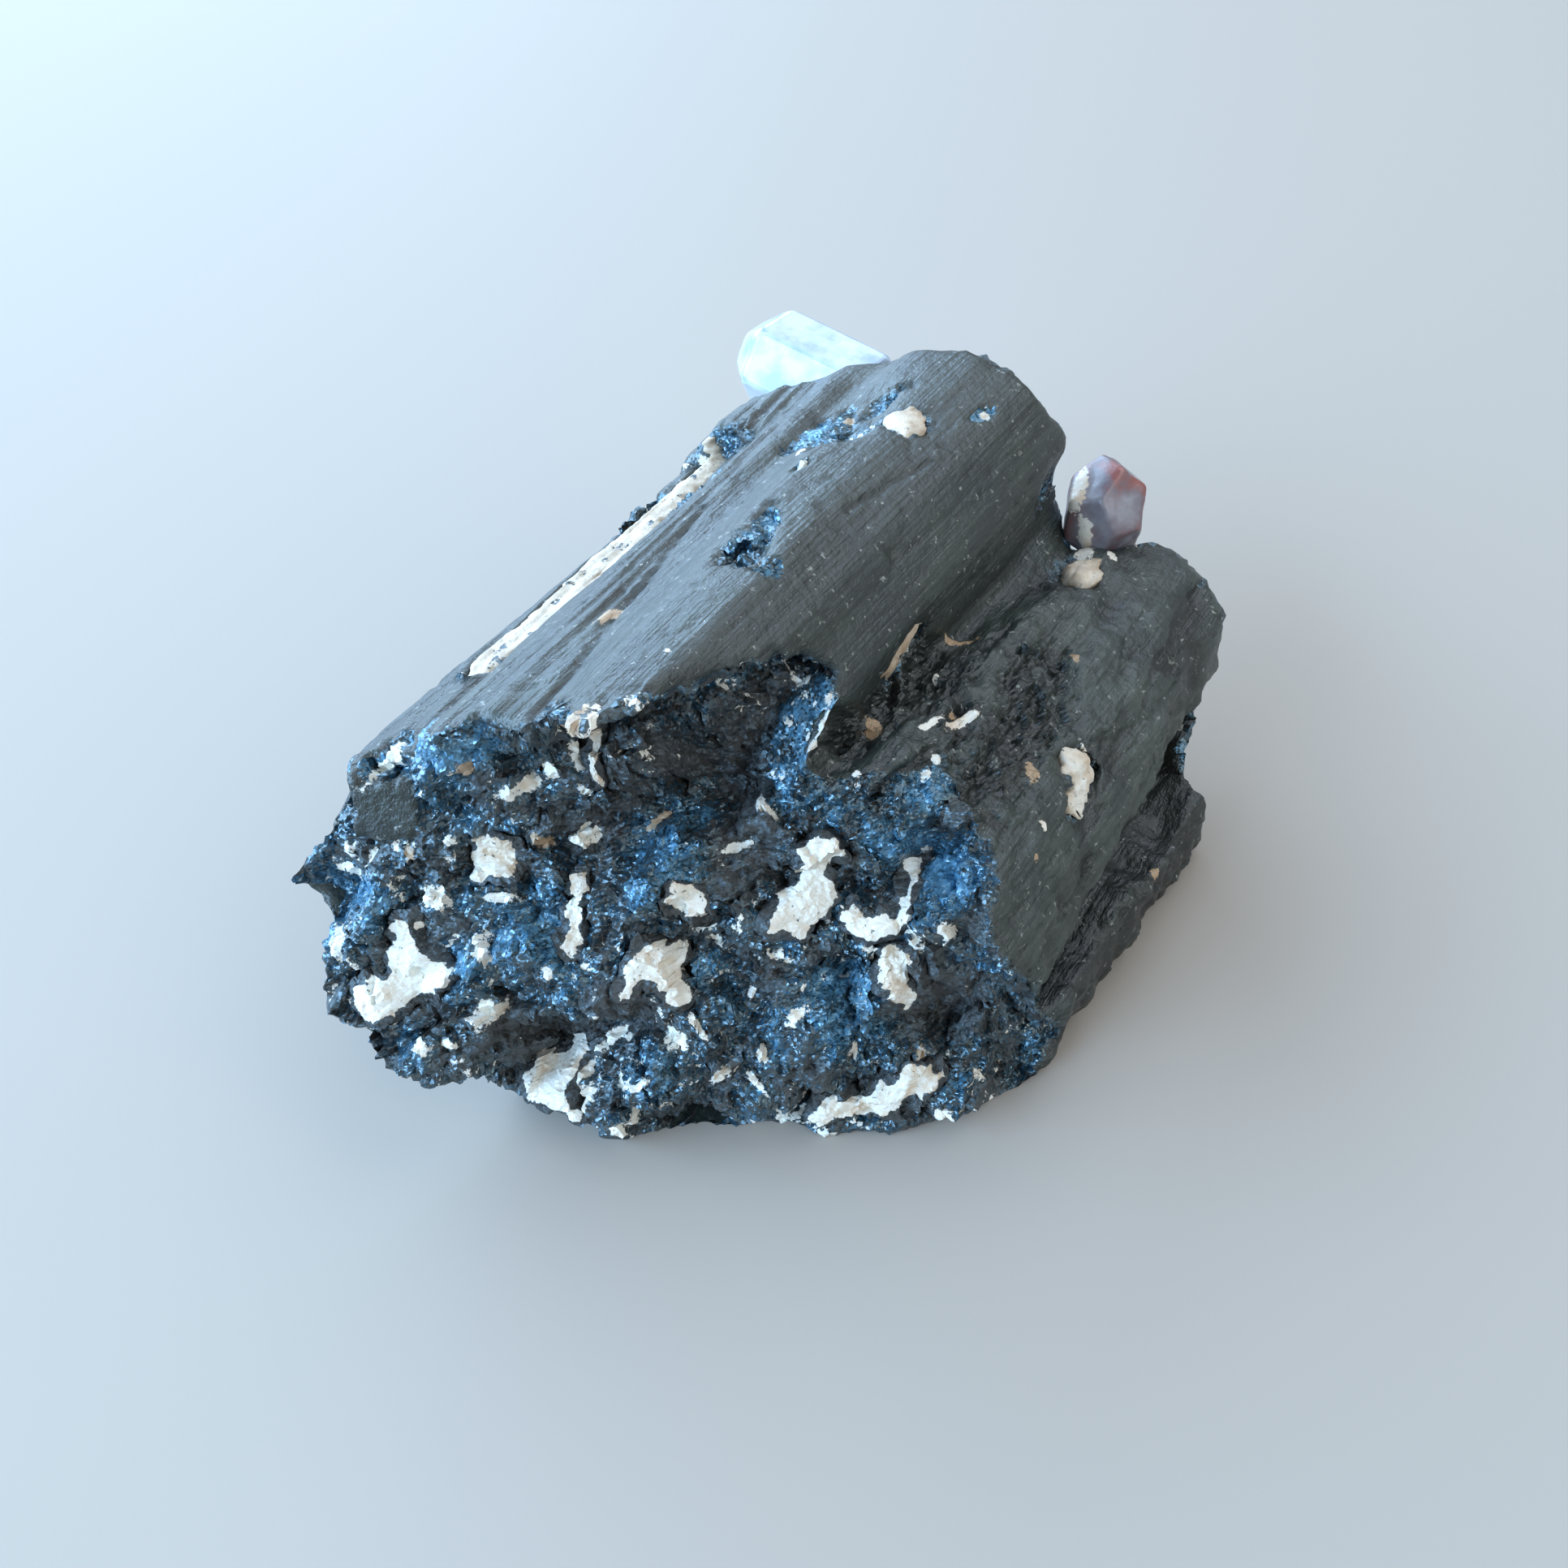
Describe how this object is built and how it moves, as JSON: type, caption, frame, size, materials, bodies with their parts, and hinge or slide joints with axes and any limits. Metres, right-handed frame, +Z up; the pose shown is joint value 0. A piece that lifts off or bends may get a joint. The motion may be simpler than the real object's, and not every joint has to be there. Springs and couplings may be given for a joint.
{
  "type": "tourmaline crystal",
  "caption": "Hand specimen of black tourmaline: ribbed prisms grown together, broken at both ends, with feldspar grains, a quartz crystal and a garnet set in it.",
  "frame": {"origin": "middle of the specimen's box, on the plane it rests on", "axes": "+Z up as it lies on a table; +Y along the tourmaline prisms, away from the freshly broken near end; +X to the right as seen from the broken end"},
  "size_m": [0.0588, 0.082, 0.0396],
  "materials": {
    "schorl": "satin ribbed prism faces, glittering black breaks",
    "feldspar": "matte cream, with tan stains",
    "quartz": "milky, half see-through, glossy",
    "garnet": "worn, dull, dark purple-red"
  },
  "bodies": {
    "root": {"schorl_cluster": "schorl", "feldspar_wedge": "feldspar", "feldspar_hook": "feldspar", "feldspar_rag": "feldspar", "feldspar_foot_band": "feldspar", "feldspar_corner": "feldspar", "feldspar_left_patch": "feldspar", "feldspar_bone": "feldspar", "feldspar_knot": "feldspar", "feldspar_fleck": "feldspar", "feldspar_fork": "feldspar", "feldspar_lip_streak": "feldspar", "feldspar_side_patch": "feldspar", "feldspar_groove_streak": "feldspar", "feldspar_crown_patch": "feldspar", "feldspar_left_vein": "feldspar", "feldspar_far_patch": "feldspar", "quartz_crystal": "quartz", "garnet_crystal": "garnet"}
  },
  "joints": []
}
